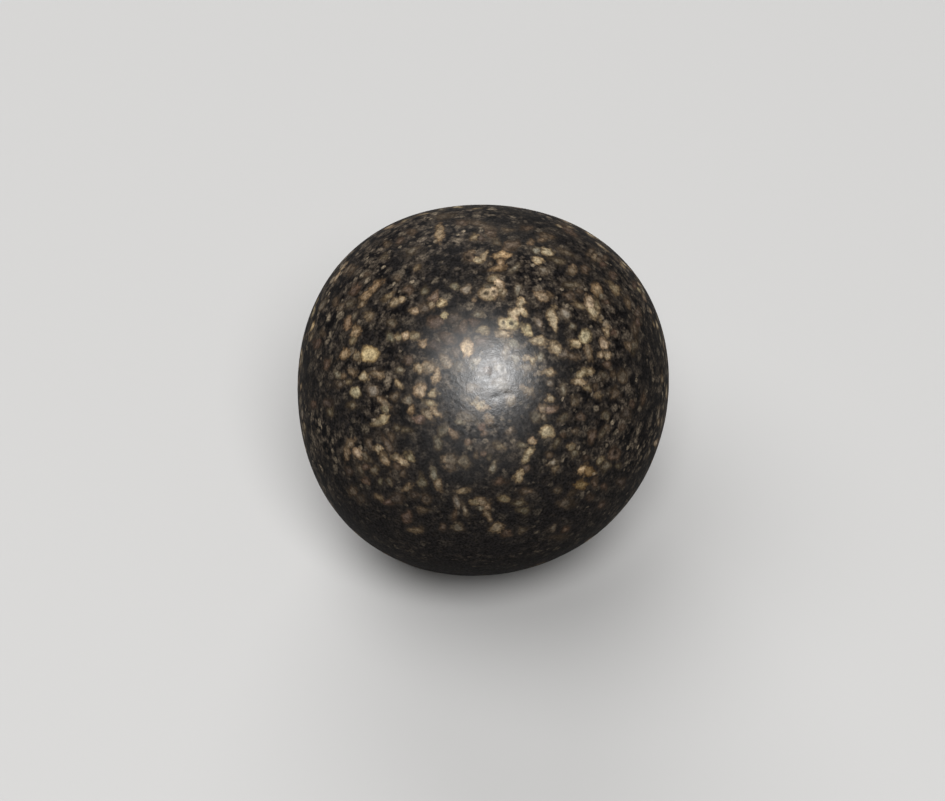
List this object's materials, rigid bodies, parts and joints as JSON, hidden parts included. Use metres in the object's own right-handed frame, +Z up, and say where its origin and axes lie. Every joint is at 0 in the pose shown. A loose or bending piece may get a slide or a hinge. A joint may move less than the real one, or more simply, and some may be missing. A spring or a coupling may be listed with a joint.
{
  "type": "clay marble",
  "caption": "Solid fired-clay marble: a hand-rolled, slightly out-of-round ball with a satin black skin flecked in cream and tan.",
  "frame": {"origin": "the ball's centre", "axes": "+Z up as the ball stands in the picture, -Y towards the viewer, +X to the viewer's right"},
  "size_m": [0.0145, 0.0147, 0.0147],
  "materials": {
    "fired_clay": "satin"
  },
  "bodies": {
    "root": {"marble": "fired_clay"}
  },
  "joints": []
}
